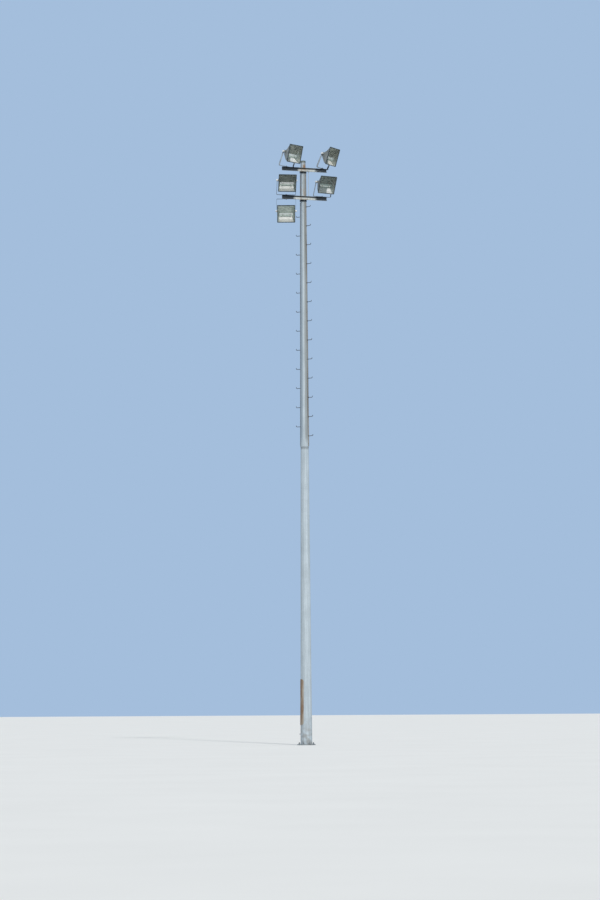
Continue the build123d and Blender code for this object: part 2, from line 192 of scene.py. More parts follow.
class Batch:
    """Small pieces of one finish, each a closed form, joined in one mesh."""

    def __init__(self, place=Matrix.Identity(4)):
        self.place = place
        self.mesh = bmesh.new()

    def skin(self, rings, loop=False):
        """A wall through rings of points, closed at both ends unless it runs in a loop."""
        rows = [[self.mesh.verts.new(point) for point in ring] for ring in rings]
        following = rows[1:] + rows[:1] if loop else rows[1:]
        for near, far in zip(rows, following):
            for number in range(len(near)):
                self.mesh.faces.new((near[number - 1], near[number], far[number], far[number - 1]))
        if not loop:
            self.mesh.faces.new(rows[0])
            self.mesh.faces.new(rows[-1])

    def turned(self, place, outline, sides=20):
        """A form turned about the place's Z axis, from pairs of radius and height."""
        turns = [tau * number / sides for number in range(sides)]
        self.skin([
            [place @ Vector((radius * cos(turn), radius * sin(turn), height)) for turn in turns]
            for radius, height in outline
        ])

    def block(self, place, size, bevel=0.001):
        """A plate or bar with rounded edges, its middle on the place."""
        sized = place @ Matrix.Diagonal((*size, 1.0))
        made = bmesh.ops.create_cube(self.mesh, size=1.0, matrix=sized)
        edges = list(dict.fromkeys(edge for corner in made["verts"] for edge in corner.link_edges))
        bmesh.ops.bevel(
            self.mesh, geom=edges, offset=bevel, segments=2, profile=0.5, affect="EDGES"
        )

    def drawn(self, points, over, radius, sides=8, ripple=0.0, loop=False):
        """A wire or a weld bead along points.

        Over is square to its run, and ripple swells every other ring by a share of the radius.
        """
        turns = [tau * number / sides for number in range(sides)]
        last = len(points) - 1
        rings = []
        for number, point in enumerate(points):
            before = points[number - 1] if number or loop else point
            after = points[(number + 1) % len(points)] if number < last or loop else point
            ahead = (after - before).normalized()
            aside = ahead.cross(over).normalized()
            upward = aside.cross(ahead)
            size = radius * (1.0 + ripple * (number % 2))
            rings.append([
                point + (aside * cos(turn) + upward * sin(turn)) * size for turn in turns
            ])
        self.skin(rings, loop)

    def thread(self, place, radius, start, end):
        """The threaded end of a stud, with rounded crests and a bevelled tip."""
        pitch = radius * 0.24
        root = radius * 0.88
        outline = [(radius, start)]
        for turn in range(int((end - start) / pitch)):
            outline.append((radius, start + (turn + 0.3) * pitch))
            outline.append((root, start + (turn + 0.8) * pitch))
        self.turned(place, outline + [(root, end - pitch * 0.2), (root * 0.8, end)])

    def nut(self, place, across, stud=0.0):
        """A hexagon nut of standard proportions on its washer, with a length of stud above it."""
        washer = across * 0.09
        top = across * 0.6
        corner = across / sqrt(3)
        rim = [(across * 0.60, 0.0), (across * 0.61, washer * 0.8), (across * 0.58, washer)]
        self.turned(place, rim)
        hexagon = [(corner * 0.92, washer * 0.5), (corner, washer * 1.5), (corner, top * 0.9)]
        self.turned(place, hexagon + [(corner * 0.88, top)], 6)
        if stud:
            self.thread(place, across * 0.33, top * 0.9, top + stud)

    def finished(self, name, finish, body, slot):
        """Turns the batch into a piece: shaded round but for its folds, riding on its body."""
        sharp = radians(35.0)
        bmesh.ops.recalc_face_normals(self.mesh, faces=self.mesh.faces)
        for face in self.mesh.faces:
            face.smooth = True
        for edge in self.mesh.edges:
            edge.smooth = edge.calc_face_angle(0.0) < sharp
        self.mesh.transform(self.place)
        data = bpy.data.meshes.new(name)
        self.mesh.to_mesh(data)
        self.mesh.free()
        data.materials.append(finish.material)
        piece = bpy.data.objects.new(name, data)
        bpy.context.scene.collection.objects.link(piece)
        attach(piece, body)


flange_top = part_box("foot_flange")[1].z
flange_zinc = zinc_plate("zinc_flange", tone(168, 177, 182), tone(122, 128, 130))
splash = flange_zinc.ease(flange_zinc.mottle(9.0, 6.0), 0.46, 0.62)
flange_zinc.colour(flange_zinc.mix(splash * 0.55, flange_zinc.shade, tone(104, 92, 78)))
flange_zinc.onto("foot_flange")

bolt_zinc = Finish("plated_bolts", 0.5, 0.45)
bolt_rust = bolt_zinc.ease(bolt_zinc.mottle(55.0, 5.0), 0.50, 0.66)
bolt_tarnish = bolt_zinc.mix(bolt_zinc.mottle(130.0), tone(172, 180, 184), tone(120, 128, 134))
bolt_zinc.colour(bolt_zinc.mix(bolt_rust * 0.7, bolt_tarnish, tone(126, 92, 66)))
bolt_zinc.rough(0.38 + bolt_rust * 0.4)
bolt_zinc.relief(bolt_zinc.mottle(400.0), 0.0002)

anchor_count = 8
anchor_circle = 0.235          # radius of the circle that the anchors stand on
anchor_radius = 0.0145
anchor_spanner = 0.046
anchor_reach = 0.030           # threaded end above the nut
anchor_bottom = 0.004
anchors = Batch()
for number in range(anchor_count):
    turn = tau * (number + 0.5) / anchor_count
    stands = Matrix.Translation((anchor_circle * cos(turn), anchor_circle * sin(turn), flange_top))
    anchors.nut(stands, anchor_spanner, anchor_reach)
    shank = [(anchor_radius, anchor_bottom - flange_top), (anchor_radius, anchor_spanner * 0.3)]
    anchors.turned(stands, shank)
anchors.finished("anchor_nuts", bolt_zinc, "mast", "mast_zinc")


# Mast: two tapered lengths folded from plate into sixteen flats, each closed by one long weld, the
# upper one slipped over the lower one and sealed. Galvanised, with a bevelled cap on three screws.
mast_sides = 16
flat_turn = 360.0 / mast_sides
foot_radius = 0.176            # mast's axis to the middle of a flat, at the flange's underside
half_taper = 0.00575           # what that radius loses in a metre of height
lap = 0.0043                   # step outwards from the lower length to the upper one
lean = atan(half_taper)
rail_side = -30.0              # direction of the right-hand step rail, which is on a flat
joint_edge, mast_top = (corner.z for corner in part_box("mast_upper"))
upright = Vector((0.0, 0.0, 1.0))


def mast_radius(height):
    return foot_radius - half_taper * height + (lap if height >= joint_edge else 0.0)


def on_mast(direction, height, proud=0.0):
    """A place on the mast's surface: Z points away from the mast and X down its slope."""
    surface = Matrix.Translation((mast_radius(height) + proud, 0.0, height))
    facing = surface @ Matrix.Rotation(pi / 2 - lean, 4, "Y")
    return Matrix.Rotation(radians(direction), 4, "Z") @ facing


def around_mast(height, proud, steps):
    """Points round the mast's sixteen sides at a height, with a number of steps on each side."""
    radius = (mast_radius(height) + proud) / cos(pi / mast_sides)
    corners = []
    for number in range(mast_sides):
        turn = radians(rail_side + flat_turn * (number + 0.5))
        corners.append(Vector((radius * cos(turn), radius * sin(turn), height)))
    return [
        corner.lerp(corners[(number + 1) % mast_sides], step / steps)
        for number, corner in enumerate(corners) for step in range(steps)
    ]


mast_zinc = zinc_plate("zinc_mast", tone(208, 220, 228), tone(184, 196, 204), 0.12)
height = mast_zinc.along(upright)
surface_radius = foot_radius - half_taper * height
towards_rail = (cos(radians(rail_side)), sin(radians(rail_side)), 0.0)
shaded_side = (-0.93, -0.36, 0.0)
rail_share = mast_zinc.along(towards_rail) / surface_radius
shaded_side_share = mast_zinc.along(shaded_side) / surface_radius
above_joint = mast_zinc.ease(height, joint_edge, joint_edge + 0.4)
long_streak = mast_zinc.ease(mast_zinc.mottle(34.0, 4.0, (1.0, 1.0, 0.012)), 0.36, 0.66)
# Painted shade: a blue-grey darkening on the mast's left-front edge above the joint, for its shaded
# side.
painted_side_shade = mast_zinc.ease(shaded_side_share, 0.60, 1.0) * above_joint
# Beside the right-hand rail above the joint: streaky dirt, with painted shadow of the rail on the
# mast.
rail_dirt_and_shadow = mast_zinc.ease(rail_share, 0.50, 0.78) * above_joint * (0.55 + long_streak * 0.4)
low_splash = mast_zinc.ease(mast_zinc.mottle(7.0, 6.0), 0.35, 0.7)
low_grime = (1.0 - mast_zinc.ease(height, 0.05, 1.2)) * low_splash
# A dark band under the slip joint's edge: grime, with painted shade under the lap.
joint_grime_and_shade = 1.0 - mast_zinc.ease(abs(height - joint_edge + 0.03), 0.01, 0.07)
arm_rust = mast_zinc.ease(mast_zinc.mottle(16.0, 4.0, (1.0, 1.0, 0.2)), 0.5, 0.6)
arm_rust = arm_rust * mast_zinc.ease(height, mast_top - 1.3, mast_top - 1.1)
rust_tear = mast_zinc.ease(height, mast_top - 0.26, mast_top - 0.24)
rust_tear = rust_tear * (1.0 - mast_zinc.ease(height, mast_top - 0.16, mast_top - 0.08))
rust_tear = rust_tear * mast_zinc.ease(rail_share, 0.30, 0.55)
washed = mast_zinc.shade
for share, stain in (
    (long_streak * 0.45, tone(160, 172, 178)),
    (painted_side_shade * 0.5, tone(122, 142, 160)),
    (rail_dirt_and_shadow, tone(136, 140, 138)),
    (low_grime * 0.6, tone(126, 118, 104)),
    (joint_grime_and_shade * 0.45, tone(98, 104, 106)),
    (arm_rust * 0.4, tone(164, 132, 98)),
    (rust_tear * 0.8, tone(146, 112, 80)),
):
    washed = mast_zinc.mix(share, washed, stain)
mast_zinc.colour(washed)
mast_zinc.onto("mast_lower", "mast_upper")
# The cap's darker zinc is painted shade, for the shade under its rim.
shaded_cap_zinc = zinc_plate("zinc_cap", tone(134, 142, 138), tone(100, 107, 104))
shaded_cap_zinc.onto("mast_cap")

weld_zinc = zinc_plate("zinc_welds", tone(186, 196, 202), tone(140, 150, 156))
weld_ripple = 0.10
foot_weld_radius = 0.007
foot_weld = Batch()
foot_weld.drawn(around_mast(flange_top, 0.002, 20), upright, foot_weld_radius, 8, weld_ripple, True)
foot_weld.finished("foot_weld", weld_zinc, "mast", "mast_zinc")

seam_pitch = 0.009
seam_radius = 0.0032
seam_sunk = 0.0015
seams = Batch()
for direction, seam_start, seam_end in (
    (rail_side + 5 * flat_turn, flange_top + 0.01, joint_edge - 0.01),
    (rail_side + 6 * flat_turn, joint_edge + 0.002, mast_top - 0.06),
):
    steps = int((seam_end - seam_start) / seam_pitch)
    levels = [seam_start + seam_pitch * step for step in range(steps)]
    run = [on_mast(direction, level, -seam_sunk).translation for level in levels]
    seams.drawn(run, on_mast(direction, seam_start).col[2].xyz, seam_radius, 6, weld_ripple)
seams.finished("long_seam_welds", weld_zinc, "mast", "mast_zinc")

sealant = Finish("joint_sealant", 0.0, 0.7)
sealant.colour(sealant.mix(sealant.mottle(60.0, 4.0), tone(58, 60, 62), tone(88, 88, 84)))
sealant.relief(sealant.mottle(180.0), 0.0006)
seal_radius = 0.0032
seal_line = around_mast(joint_edge - 0.002, seal_radius / 2, 3)
joint_seal = Batch()
joint_seal.drawn(seal_line, upright, seal_radius, 8, 0.0, True)
joint_seal.finished("joint_seal", sealant, "mast", "mast_zinc")

cap_proud = 0.0043             # mast's surface to the outside of the cap's skirt
cap_screw_sides = (2, 7, 12)   # flats counted from the right-hand rail
cap_screw_up = 0.018
cap_screw_spanner = 0.010
skirt_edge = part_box("mast_cap")[0].z
skirt_radius = mast_radius(skirt_edge) + cap_proud
cap_screws = Batch()
for number in cap_screw_sides:
    stands = Matrix.Rotation(radians(rail_side + number * flat_turn), 4, "Z")
    stands = stands @ Matrix.Translation((skirt_radius, 0.0, skirt_edge + cap_screw_up))
    cap_screws.nut(stands @ Matrix.Rotation(pi / 2, 4, "Y"), cap_screw_spanner)
cap_screws.finished("cap_screws", bolt_zinc, "mast", "mast_zinc")

lug_flat = 10                  # flats from the right-hand rail to the lug and the door
lug_height = 0.34
lug_thickness = 0.006
lug_width = 0.040
lug_reach = 0.050
lug_hole = 0.026               # mast's surface to the middle of the lug's hole
lug_spanner = 0.019
lug_out = 0.018                # mast's surface to the lug's middle
lug_weld_radius = 0.003
lug_weld_aside = 0.004         # lug's middle to the bead on each side of its plate
lug_weld_step = 0.002
lug_weld_steps = 20
lug_place = on_mast(rail_side + lug_flat * flat_turn, lug_height)
earth_lug = Batch()
lug_middle = lug_place @ Matrix.Translation((0.0, 0.0, lug_out))
earth_lug.block(lug_middle, (lug_thickness, lug_width, lug_reach), 0.0012)
for hand, stud in ((1.0, 0.010), (-1.0, 0.0)):
    stands = lug_place @ Matrix.Translation((hand * lug_thickness / 2, 0.0, lug_hole))
    earth_lug.nut(stands @ Matrix.Rotation(hand * pi / 2, 4, "Y"), lug_spanner, stud)
for hand in (-1.0, 1.0):
    spots = [lug_width / 2 - lug_weld_step * step for step in range(lug_weld_steps + 1)]
    run = [lug_place @ Vector((hand * lug_weld_aside, across, 0.001)) for across in spots]
    earth_lug.drawn(run, lug_place.col[2].xyz, lug_weld_radius, 8, 0.12)
earth_lug.finished("earth_lug", bolt_zinc, "mast", "mast_zinc")


# Service door: a folded steel cover in a frame on the mast's left side, its paint gone brown with
# rust. Two key locks close it and four screws hold its corners.
rusty = Finish("rusty_door_paint", 0.0, 0.75)
bloom = rusty.ease(rusty.mottle(5.0, 6.0, (1.0, 1.0, 0.35)), 0.40, 0.60)
flake = rusty.ease(rusty.mottle(60.0, 5.0), 0.35, 0.7)
run_down = rusty.ease(rusty.mottle(38.0, 4.0, (1.0, 1.0, 0.05)), 0.52, 0.64)
old_paint = rusty.mix(bloom * 0.75 + flake * 0.2, tone(178, 170, 156), tone(136, 106, 80))
rusty.colour(rusty.mix(run_down * 0.5, old_paint, tone(112, 80, 58)))
rusty.rough(0.6 + flake * 0.3)
rusty.relief(flake + bloom, 0.0012)
rusty.onto("door_frame", "service_door")

door_low, door_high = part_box("service_door")
door_direction = rail_side + lug_flat * flat_turn
door_proud = 0.010
lock_inset = 0.16
screw_inset = 0.05
lock_rim = [(0.0130, 0.0), (0.0130, 0.0026), (0.0112, 0.0036), (0.0088, 0.0036), (0.0080, 0.0010)]
lock_core = [(0.0062, 0.0008), (0.0062, 0.0030), (0.0050, 0.0036)]
screw_washer = [(0.0095, 0.0), (0.0095, 0.0016), (0.0085, 0.0020)]
screw_dome = [
    (0.0070, 0.0010), (0.0070, 0.0034), (0.0058, 0.0056), (0.0034, 0.0064), (0.0032, 0.0038),
]
door_fittings = Batch()
for level in (door_low.z + lock_inset, door_high.z - lock_inset):
    lock = on_mast(door_direction, level, door_proud)
    door_fittings.turned(lock, lock_rim, 28)
    door_fittings.turned(lock, lock_core, 3)
for level in (door_low.z + screw_inset, door_high.z - screw_inset):
    for side in (-flat_turn, flat_turn):
        screw = on_mast(door_direction + side, level, door_proud)
        door_fittings.turned(screw, screw_washer, 24)
        door_fittings.turned(screw, screw_dome, 24)
door_fittings.finished("door_locks_and_screws", bolt_zinc, "mast", "door_steel")


# Step rails and pegs: rolled channels up the upper length, bolted on near their ends and between
# the pegs, which are ribbed bars on washers. The rails are grey-brown from old primer and rust, the
# pegs dark.
rail_brown = Finish("weathered_rail", 0.1, 0.7)
rail_patch = rail_brown.ease(rail_brown.mottle(4.0, 6.0, (1.0, 1.0, 0.2)), 0.38, 0.62)
rail_run = rail_brown.ease(rail_brown.mottle(40.0, 4.0, (1.0, 1.0, 0.04)), 0.45, 0.65)
rail_grey = rail_brown.mix(rail_patch, tone(160, 162, 160), tone(134, 134, 130))
rail_brown.colour(rail_brown.mix(rail_run * 0.35, rail_grey, tone(132, 112, 96)))
rail_brown.relief(rail_brown.mottle(150.0, 4.0), 0.0006)
rail_brown.onto("step_rail_right", "step_rail_left")
peg_dark = Finish("weathered_peg", 0.3, 0.6)
peg_wear = peg_dark.ease(peg_dark.mottle(40.0, 4.0), 0.4, 0.65)
peg_dark.colour(peg_dark.mix(peg_wear, tone(72, 88, 98), tone(96, 84, 76)))
peg_dark.relief(peg_dark.mottle(220.0, 3.0), 0.0004)
peg_dark.onto("step_pegs_right", "step_pegs_left")

rail_proud = 0.020
rail_spanner = 0.017
rail_end_inset = 0.05
rail_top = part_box("step_rail_right")[1].z
short_rail_start = 17.086      # lower end of the short rails between the arms
peg_pitch = 0.6
lowest_right_peg, right_pegs = 9.536, 13
lowest_left_peg, left_pegs = 9.836, 12
peg_washer = [(0.0220, 0.0), (0.0220, 0.0020), (0.0205, 0.0030)]
peg_radius = 0.0080
peg_rib_radius = 0.0098
peg_rib_start = 0.026
peg_rib_pitch = 0.013
peg_rib_count = 8


def on_rail(side, level):
    """A place on a rail's web at a height: Z points away from the mast."""
    rail_foot = Matrix.Translation((mast_radius(joint_edge), 0.0, joint_edge))
    rail_frame = Matrix.Rotation(radians(side), 4, "Z") @ rail_foot @ Matrix.Rotation(-lean, 4, "Y")
    web = rail_frame @ Matrix.Translation((rail_proud, 0.0, level - joint_edge))
    return web @ Matrix.Rotation(pi / 2, 4, "Y")


rail_bolts = Batch()
peg_ribs = Batch()
for side, lowest_peg, count in (
    (rail_side, lowest_right_peg, right_pegs), (rail_side + 180.0, lowest_left_peg, left_pegs),
):
    pegs = [lowest_peg + peg_pitch * number for number in range(count)]
    fixings = [level + peg_pitch / 2 for level in pegs]
    fixings += [joint_edge + rail_end_inset * 2]
    fixings += [short_rail_start + rail_end_inset, rail_top - rail_end_inset]
    for level in fixings:
        rail_bolts.nut(on_rail(side, level), rail_spanner)
    for level in pegs:
        bar = on_rail(side, level)
        peg_ribs.turned(bar, peg_washer, 28)
        for number in range(peg_rib_count):
            rib = peg_rib_start + peg_rib_pitch * number
            outline = [(peg_radius, rib), (peg_rib_radius, rib + 0.001)]
            outline += [(peg_rib_radius, rib + 0.003), (peg_radius, rib + 0.004)]
            peg_ribs.turned(bar, outline, 16)
rail_bolts.finished("rail_bolts", bolt_zinc, "mast", "rail_steel")
peg_ribs.finished("peg_ribs_and_washers", peg_dark, "mast", "peg_steel")


# Crossarms: rolled channels, galvanised, each clamped to the mast by a saddle and a strap on four
# long bolts, above a collar whose near-black paint is painted shade. Their hollow side carries
# painted shadow: at the ends under the floodlights, and in a strip under the top flange.
joints = {joint["name"]: joint for joint in frame["joints"]}
upper_left_pan = Vector(joints["upper_left_pan"]["pos_m"])
upper_right_pan = Vector(joints["upper_right_pan"]["pos_m"])
lower_left_pan = Vector(joints["lower_left_pan"]["pos_m"])
arm_run = upper_right_pan - upper_left_pan
arm_frame = Matrix.Rotation(atan2(arm_run.y, arm_run.x), 4, "Z")
arm_depth = lower_left_pan.z - joints["hung_left_pan"]["pos_m"][2]
arm_tops = (upper_left_pan.z, lower_left_pan.z)
stud_line = (arm_frame.inverted() @ upper_left_pan).y
arm_flange = 0.058
arm_wall = 0.006
web_front = stud_line + arm_flange / 2 - arm_wall
strap_back = 0.017

arm_zinc = zinc_plate("zinc_arm", tone(216, 220, 216), tone(178, 182, 178))
arm_across = arm_zinc.along(arm_frame.col[0].xyz)
arm_front = arm_zinc.along(-arm_frame.col[1].xyz)
in_hollow = arm_zinc.ease(arm_front, -web_front - 0.004, -web_front - 0.001)
height = arm_zinc.along(upright)
between_arms = sum(arm_tops) / 2
on_upper_arm = arm_zinc.ease(height, between_arms - 0.05, between_arms + 0.05)
# Painted shadow of the floodlights on the hollow side starts these distances out from the middle.
left_shadow_start = 0.32 - on_upper_arm * 0.14
right_shadow_start = 0.37
left_end_painted_shadow = arm_zinc.ease(-1.0 * arm_across - left_shadow_start, 0.0, 0.06)
right_end_painted_shadow = arm_zinc.ease(arm_across - right_shadow_start, 0.0, 0.06)
painted_arm_shadow = left_end_painted_shadow + right_end_painted_shadow
# A painted shadow strip just under each arm's top flange, on the hollow side.
for top in arm_tops:
    below_top = top - height
    flange_shadow_foot = 1.0 - arm_zinc.ease(below_top, 0.030, 0.046)
    painted_arm_shadow = painted_arm_shadow + arm_zinc.ease(below_top, 0.001, 0.003) * flange_shadow_foot
near_clamp = 1.0 - arm_zinc.ease(abs(arm_across), 0.10, 0.20)
arm_stain = arm_zinc.ease(arm_zinc.mottle(7.0, 6.0), 0.50, 0.62) * near_clamp
arm_shade = arm_zinc.mix(arm_stain * 0.7, arm_zinc.shade, tone(172, 142, 104))
# The painted shadow darkens the hollow side only.
arm_zinc.colour(arm_zinc.mix(painted_arm_shadow * in_hollow * 0.85, arm_shade, tone(62, 70, 78)))
arm_zinc.onto("crossarm_upper", "crossarm_lower")
clamp_zinc = zinc_plate("zinc_clamp", tone(196, 200, 198), tone(150, 152, 148))
clamp_stain = clamp_zinc.ease(clamp_zinc.mottle(9.0, 6.0), 0.46, 0.62)
clamp_zinc.colour(clamp_zinc.mix(clamp_stain * 0.6, clamp_zinc.shade, tone(150, 118, 86)))
clamp_zinc.onto("arm_clamps")

clamp_bolt_out = 0.095
clamp_bolt_up = 0.028
clamp_bolt_radius = 0.0078
clamp_bolt_reach = 0.014       # threaded end behind the nut
clamp_spanner = 0.024
arm_bolts = Batch(arm_frame)
for top in arm_tops:
    for across in (-clamp_bolt_out, clamp_bolt_out):
        for up in (-clamp_bolt_up, clamp_bolt_up):
            level = top - arm_depth / 2 + up
            bolt_front = Matrix.Translation((across, web_front, level))
            bolt_front = bolt_front @ Matrix.Rotation(pi / 2, 4, "X")
            bolt_back = Matrix.Translation((across, strap_back, level))
            bolt_back = bolt_back @ Matrix.Rotation(-pi / 2, 4, "X")
            arm_bolts.nut(bolt_front, clamp_spanner)
            arm_bolts.nut(bolt_back, clamp_spanner, clamp_bolt_reach)
            shank = [(clamp_bolt_radius, web_front - strap_back), (clamp_bolt_radius, 0.004)]
            arm_bolts.turned(bolt_back, shank)
arm_bolts.finished("clamp_bolts", bolt_zinc, "mast", "arm_zinc")

# The collar's near-black blue paint is painted shade, for the arm's shadow falling on it; the chips
# are real wear.
shaded_collar_paint = Finish("shaded_collar_paint", 0.0, 0.6)
chipped = shaded_collar_paint.ease(shaded_collar_paint.mottle(35.0, 5.0), 0.58, 0.66)
collar_shade_tone = shaded_collar_paint.mix(shaded_collar_paint.mottle(12.0, 4.0), tone(26, 40, 50), tone(44, 56, 62))
shaded_collar_paint.colour(shaded_collar_paint.mix(chipped, collar_shade_tone, tone(92, 84, 76)))
shaded_collar_paint.relief(chipped, -0.0005)
shaded_collar_paint.onto("support_collars")
collar_rim = 0.024
collar_height = 0.038
collar_screw_sides = (2, 6, 10, 14)
collar_spanner = 0.017
collar_screws = Batch()
for top in arm_tops:
    middle = top - arm_depth - collar_height / 2
    for number in collar_screw_sides:
        stands = on_mast(rail_side + number * flat_turn, middle, collar_rim)
        collar_screws.nut(stands, collar_spanner)
collar_screws.finished("collar_screws", bolt_zinc, "mast", "collar_steel")


# Feed conduit: a thin galvanised tube that carries the upper lamps' feed from arm to arm, with a
# gland on each arm's flange, drawn tight by a ring nut outside and a locknut inside the channel.
conduit_zinc = zinc_plate("zinc_conduit", tone(206, 214, 220), tone(176, 186, 192))
conduit_zinc.onto("feed_conduit")
conduit_across = 0.133
gland_spanner = 0.033
gland_radius = 0.0125
gland_tail = 0.016             # threaded end inside the channel
gland_neck = 0.0225            # height of the upper ring on its gland
ring_nut = [
    (gland_spanner * share, rise)
    for share, rise in ((0.54, 0.0), (0.58, 0.0012), (0.58, 0.0070), (0.52, 0.0082))
]
conduit_nuts = Batch(arm_frame)
for level, facing in ((arm_tops[1], 0.0), (arm_tops[0] - arm_depth, pi)):
    gland = Matrix.Translation((conduit_across, stud_line, level)) @ Matrix.Rotation(facing, 4, "X")
    neck_ring = [(radius * 0.75, gland_neck + rise) for radius, rise in ring_nut]
    locknut = [(radius, -arm_wall - rise) for radius, rise in ring_nut]
    conduit_nuts.turned(gland, ring_nut, 6)
    conduit_nuts.turned(gland, neck_ring, 24)
    conduit_nuts.turned(gland, locknut, 6)
    inward = gland @ Matrix.Rotation(pi, 4, "X")
    conduit_nuts.thread(inward, gland_radius, arm_wall, arm_wall + gland_tail)
conduit_nuts.finished("conduit_ring_nuts", bolt_zinc, "mast", "conduit_steel")


# Yokes: flat bars bent to a U with raked legs, zinc plated, two of them gone dark. Each turns on a
# stud that is welded to the arm by its pad, held by a nut. Painted shade darkens them below the
# tilt studs and at the bend on their right.
lamps = ("upper_left", "upper_right", "lower_left", "lower_right", "hung_left")
steepest_tilt = 80.0


def pan_of(lamp):
    axis = joints[lamp + "_tilt"]["axis"]
    return atan2(axis[1], axis[0])


def yoke_frame(lamp):
    """Origin on the arm's flange at the pan axis, Z away from the arm and -Y towards the face."""
    place = joints[lamp + "_pan"]["pos_m"]
    hangs = joints[lamp + "_tilt"]["pos_m"][2] < place[2]
    turned = Matrix.Translation(place) @ Matrix.Rotation(pan_of(lamp), 4, "Z")
    return turned @ Matrix.Rotation(pi, 4, "Y") if hangs else turned


yoke_half = 0.299              # pan axis to the middle of a leg
shade_down = 0.030            # tilt axis to the middle of the painted shade below it
bright_yokes = ("upper_left", "upper_right", "lower_right")
dark_yokes = ("lower_left", "hung_left")
for finish_name, fresh, dull, dressed in (
    ("zinc_yoke", tone(190, 200, 208), tone(146, 158, 168), bright_yokes),
    ("dark_yoke", tone(98, 106, 112), tone(72, 78, 84), dark_yokes),
):
    yoke_zinc = zinc_plate(finish_name, fresh, dull, 0.15)
    yoke_rust = yoke_zinc.ease(yoke_zinc.mottle(14.0, 5.0), 0.56, 0.66)
    worn_zinc = yoke_zinc.mix(yoke_rust * 0.45, yoke_zinc.shade, tone(130, 104, 84))
    # Painted shade below each tilt stud and at the bend of the right leg.
    painted_yoke_shade = 0.0
    for lamp in dressed:
        foot, eyes = (Vector(joints[lamp + joint]["pos_m"]) for joint in ("_pan", "_tilt"))
        leg = Vector(joints[lamp + "_tilt"]["axis"]) * yoke_half
        for below_eye in (eyes - leg - upright * shade_down, eyes + leg - upright * shade_down):
            painted_yoke_shade = painted_yoke_shade + yoke_zinc.near(below_eye, 0.020, 0.055)
        painted_yoke_shade = painted_yoke_shade + yoke_zinc.near(foot + leg, 0.11, 0.17)
    yoke_zinc.colour(yoke_zinc.mix(painted_yoke_shade * 0.85, worn_zinc, tone(46, 48, 50)))
    yoke_zinc.onto(*(lamp + "_yoke" for lamp in dressed))

pad_radius = 0.030
pad_weld_radius = 0.0026
pad_weld_steps = 72
pan_stud_radius = 0.0080
pan_stud_reach = 0.012         # threaded end above the nut
base_top = 0.0143              # top of the yoke's bar above the arm's flange
pan_nut_top = 0.0286
pan_washer = [(0.0185, 0.0004), (0.0205, 0.0006), (0.0205, 0.0024), (0.0195, 0.0030)]
for lamp in lamps:
    stud = Batch(yoke_frame(lamp))
    turns = [tau * number / pad_weld_steps for number in range(pad_weld_steps)]
    weld = [Vector((pad_radius * cos(turn), pad_radius * sin(turn), 0.001)) for turn in turns]
    washer = [(radius, base_top + rise) for radius, rise in pan_washer]
    pan_axis = Matrix.Identity(4)
    stud.drawn(weld, upright, pad_weld_radius, 8, 0.12, True)
    stud.turned(pan_axis, washer, 28)
    stud.thread(pan_axis, pan_stud_radius, pan_nut_top - 0.002, pan_nut_top + pan_stud_reach)
    stud.finished(lamp + "_pan_stud", bolt_zinc, "mast", "arm_zinc")


# Floodlight housings: aluminium castings that taper to a low finned back, with a boss at each side
# for the tilt stud and its knob, and a cable gland below. Spring clips hold the front frame on.
def head_frame(lamp):
    """Origin on the tilt axis: X runs along it, -Y out of the face and Z up the face."""
    joint = joints[lamp + "_tilt"]
    tilt = radians(steepest_tilt - joint["range_deg"][1])
    turned = Matrix.Translation(joint["pos_m"]) @ Matrix.Rotation(pan_of(lamp), 4, "Z")
    return turned @ Matrix.Rotation(tilt, 4, "X")


def head_places(finish, lamp):
    """Distances in metres along the tilt axis and up the face."""
    head = head_frame(lamp)
    return [finish.along(axis, head.translation) for axis in (head.col[0].xyz, head.col[2].xyz)]


def cast_aluminium(lamp):
    """Sand-cast metal gone chalky, dirtier in patches, with a painted highlight on the knobs."""
    cast = Finish("cast_housing_" + lamp, 0.2, 0.55)
    across = head_places(cast, lamp)[0]
    chalk = cast.ease(cast.mottle(9.0, 6.0), 0.35, 0.65)
    dirt = cast.ease(cast.mottle(18.0, 5.0, (1.0, 1.0, 0.4)), 0.54, 0.68)
    shade = cast.mix(chalk, tone(152, 157, 155), tone(128, 133, 132))
    shade = cast.mix(dirt * 0.5, shade, tone(100, 100, 94))
    # The knobs and bosses out along the tilt axis are painted near white: a painted highlight.
    cast.colour(cast.mix(cast.ease(abs(across), 0.277, 0.284), shade, tone(246, 246, 244)))
    cast.rough(0.45 + chalk * 0.2)
    cast.relief(cast.mottle(240.0, 4.0), 0.0005)
    cast.onto(lamp + "_housing")
    return cast


clip_steel = Finish("clip_steel", 0.8, 0.35)
clip_steel.colour(clip_steel.mix(clip_steel.mottle(90.0), tone(188, 190, 188), tone(142, 146, 148)))
clip_steel.relief(clip_steel.mottle(300.0), 0.0002)
gland_black = Finish("gland_plastic", 0.0, 0.45)
gland_black.colour(gland_black.mix(gland_black.mottle(50.0), tone(34, 36, 38), tone(54, 56, 58)))
gland_black.relief(gland_black.mottle(350.0), 0.0002)

